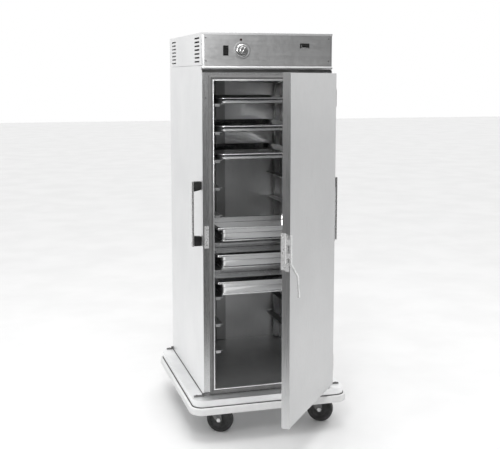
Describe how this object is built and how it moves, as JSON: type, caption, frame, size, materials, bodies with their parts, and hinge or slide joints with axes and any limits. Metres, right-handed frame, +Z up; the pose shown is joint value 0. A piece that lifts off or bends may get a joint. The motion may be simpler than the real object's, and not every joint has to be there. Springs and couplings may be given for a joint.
{
  "type": "proofing cabinet",
  "caption": "Insulated proofing cabinet on swivel casters with one full-height hinged door, slide racks with pans, a heating head with controls, side push handles and a wrap-round bumper.",
  "frame": {"origin": "on the floor under the centre of the insulated body", "axes": "+Z up, +X to the cabinet's right seen from the front, +Y from the door to the back"},
  "size_m": [0.754, 1.3403, 1.858],
  "materials": {
    "skin_steel": "satin",
    "door_steel": "satin",
    "liner_steel": "satin",
    "frame_steel": "satin",
    "rack_steel": "satin",
    "pan_aluminium": "satin",
    "deck_steel": "satin",
    "bumper_grey": "matte",
    "glass_wool": "matte",
    "gasket_grey": "matte",
    "black_plastic": "matte",
    "knob_chrome": "polished",
    "zinc_steel": "satin",
    "latch_cast": "satin",
    "magnet_dark": "matte",
    "wheel_tread": "matte",
    "lamp_lens": "gloss",
    "fan_steel": "satin",
    "element_sheath": "matte"
  },
  "bodies": {
    "cabinet": {"body_wrapper": "skin_steel", "insulation": "glass_wool", "liner": "liner_steel", "front_frame": "frame_steel", "breaker_strip": "black_plastic", "rear_duct": "liner_steel", "uprights": "rack_steel", "slides": "rack_steel", "base_deck": "deck_steel", "chassis_rails": "deck_steel", "bumper": "bumper_grey", "corner_brackets": "zinc_steel", "head_cover": "skin_steel", "control_panel": "frame_steel", "switch_bezel": "black_plastic", "thermostat": "black_plastic", "pilot_lamp": "lamp_lens", "thermometer": "black_plastic", "blower_housing": "fan_steel", "blower_motor": "fan_steel", "heating_element": "element_sheath", "water_pan": "pan_aluminium", "cord_inlet": "black_plastic", "strike_plate": "zinc_steel", "handle_bars": "zinc_steel", "handle_mounts": "black_plastic", "hinge_body_leaves": "zinc_steel", "hinge_pins": "zinc_steel", "caster_plates": "zinc_steel", "screws": "zinc_steel"},
    "door": {"door_outer_panel": "door_steel", "door_inner_panel": "liner_steel", "door_insulation": "glass_wool", "door_gasket": "gasket_grey", "hinge_door_leaves": "zinc_steel", "latch_body": "latch_cast", "latch_pin": "zinc_steel", "latch_magnet": "magnet_dark"},
    "latch_lever": {"latch_lever": "latch_cast"},
    "rocker": {"rocker": "black_plastic"},
    "knob": {"knob": "knob_chrome"},
    "blower_wheel": {"blower_wheel": "fan_steel"},
    "sheet_pan_1": {"sheet_pan_1": "pan_aluminium"},
    "sheet_pan_2": {"sheet_pan_2": "pan_aluminium"},
    "sheet_pan_3": {"sheet_pan_3": "pan_aluminium"},
    "deep_pan_6": {"deep_pan_6": "pan_aluminium"},
    "deep_pan_7": {"deep_pan_7": "pan_aluminium"},
    "deep_pan_8": {"deep_pan_8": "pan_aluminium"},
    "swivel_front_left": {"caster_fork_front_left": "zinc_steel", "caster_axle_front_left": "zinc_steel"},
    "wheel_front_left": {"caster_wheel_front_left": "wheel_tread"},
    "swivel_front_right": {"caster_fork_front_right": "zinc_steel", "caster_axle_front_right": "zinc_steel"},
    "wheel_front_right": {"caster_wheel_front_right": "wheel_tread"},
    "swivel_rear_left": {"caster_fork_rear_left": "zinc_steel", "caster_axle_rear_left": "zinc_steel"},
    "wheel_rear_left": {"caster_wheel_rear_left": "wheel_tread"},
    "swivel_rear_right": {"caster_fork_rear_right": "zinc_steel", "caster_axle_rear_right": "zinc_steel"},
    "wheel_rear_right": {"caster_wheel_rear_right": "wheel_tread"}
  },
  "joints": [
    {"name": "door_hinge", "type": "hinge", "parent": "cabinet", "child": "door", "pos_m": [0.3095, -0.413, 0.95], "axis": [0, 0, 1], "range_deg": [-52, 128]},
    {"name": "latch_lever_hinge", "type": "hinge", "parent": "door", "child": "latch_lever", "pos_m": [-0.07922, -0.89673, 0.95], "axis": [0, 0, 1], "range_deg": [-25, 0], "stiffness_Nm_per_rad": 0.08},
    {"name": "rocker_pivot", "type": "hinge", "parent": "cabinet", "child": "rocker", "pos_m": [-0.1958, -0.37, 1.78], "axis": [1, 0, 0], "range_deg": [-10, 0]},
    {"name": "knob_shaft", "type": "hinge", "parent": "cabinet", "child": "knob", "pos_m": [-0.1206, -0.375, 1.7807], "axis": [0, 1, 0], "range_deg": [-185, 115]},
    {"name": "blower_shaft", "type": "hinge", "parent": "cabinet", "child": "blower_wheel", "pos_m": [0.12, 0.005, 1.74], "axis": [0, 0, 1], "continuous": true},
    {"name": "sheet_pan_1_slide", "type": "slide", "parent": "cabinet", "child": "sheet_pan_1", "axis": [0, -1, 0], "range_m": [0, 0.04]},
    {"name": "sheet_pan_2_slide", "type": "slide", "parent": "cabinet", "child": "sheet_pan_2", "axis": [0, -1, 0], "range_m": [0, 0.04]},
    {"name": "sheet_pan_3_slide", "type": "slide", "parent": "cabinet", "child": "sheet_pan_3", "axis": [0, -1, 0], "range_m": [0, 0.04]},
    {"name": "deep_pan_6_slide", "type": "slide", "parent": "cabinet", "child": "deep_pan_6", "axis": [0, -1, 0], "range_m": [0, 0.04]},
    {"name": "deep_pan_7_slide", "type": "slide", "parent": "cabinet", "child": "deep_pan_7", "axis": [0, -1, 0], "range_m": [0, 0.04]},
    {"name": "deep_pan_8_slide", "type": "slide", "parent": "cabinet", "child": "deep_pan_8", "axis": [0, -1, 0], "range_m": [0, 0.04]},
    {"name": "swivel_front_left", "type": "hinge", "parent": "cabinet", "child": "swivel_front_left", "pos_m": [-0.251, -0.265, 0.15], "axis": [0, 0, 1], "continuous": true},
    {"name": "roll_front_left", "type": "hinge", "parent": "swivel_front_left", "child": "wheel_front_left", "pos_m": [-0.2077, -0.29, 0.0625], "axis": [0.5, 0.866, 0], "continuous": true},
    {"name": "swivel_front_right", "type": "hinge", "parent": "cabinet", "child": "swivel_front_right", "pos_m": [0.251, -0.265, 0.15], "axis": [0, 0, 1], "continuous": true},
    {"name": "roll_front_right", "type": "hinge", "parent": "swivel_front_right", "child": "wheel_front_right", "pos_m": [0.2943, -0.29, 0.0625], "axis": [0.5, 0.866, 0], "continuous": true},
    {"name": "swivel_rear_left", "type": "hinge", "parent": "cabinet", "child": "swivel_rear_left", "pos_m": [-0.251, 0.265, 0.15], "axis": [0, 0, 1], "continuous": true},
    {"name": "roll_rear_left", "type": "hinge", "parent": "swivel_rear_left", "child": "wheel_rear_left", "pos_m": [-0.251, 0.215, 0.0625], "axis": [1, 0, 0], "continuous": true},
    {"name": "swivel_rear_right", "type": "hinge", "parent": "cabinet", "child": "swivel_rear_right", "pos_m": [0.251, 0.265, 0.15], "axis": [0, 0, 1], "continuous": true},
    {"name": "roll_rear_right", "type": "hinge", "parent": "swivel_rear_right", "child": "wheel_rear_right", "pos_m": [0.2681, 0.21801, 0.0625], "axis": [0.9397, 0.342, 0], "continuous": true}
  ]
}
